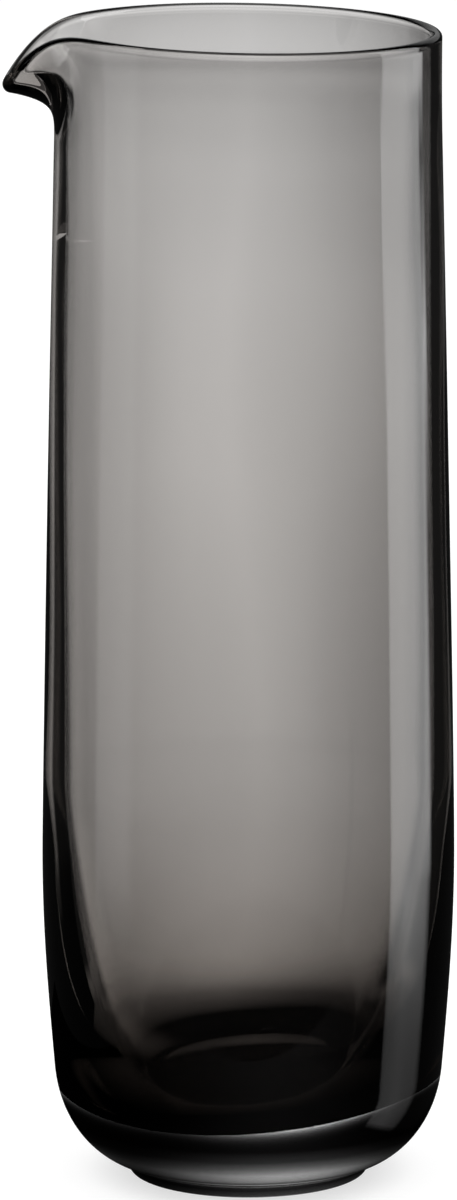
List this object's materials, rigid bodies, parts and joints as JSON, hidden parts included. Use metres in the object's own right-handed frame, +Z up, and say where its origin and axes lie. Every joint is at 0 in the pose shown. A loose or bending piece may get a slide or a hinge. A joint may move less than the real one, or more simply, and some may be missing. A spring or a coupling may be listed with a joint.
{
  "type": "carafe",
  "caption": "Tall one-piece carafe of smoked glass with a heavy rounded base and a pouring lip pulled out of the rim, for serving water or wine.",
  "frame": {"origin": "middle of the flat underside of the foot, on the vessel's axis, at the table", "axes": "+Z up along the vessel's axis towards the rim; the pouring lip points along -X; +Y completes a right-handed frame"},
  "size_m": [0.0967, 0.089, 0.2506],
  "materials": {
    "smoked_glass": "polished smoked grey glass"
  },
  "bodies": {
    "root": {"carafe_body": "smoked_glass"}
  },
  "joints": []
}
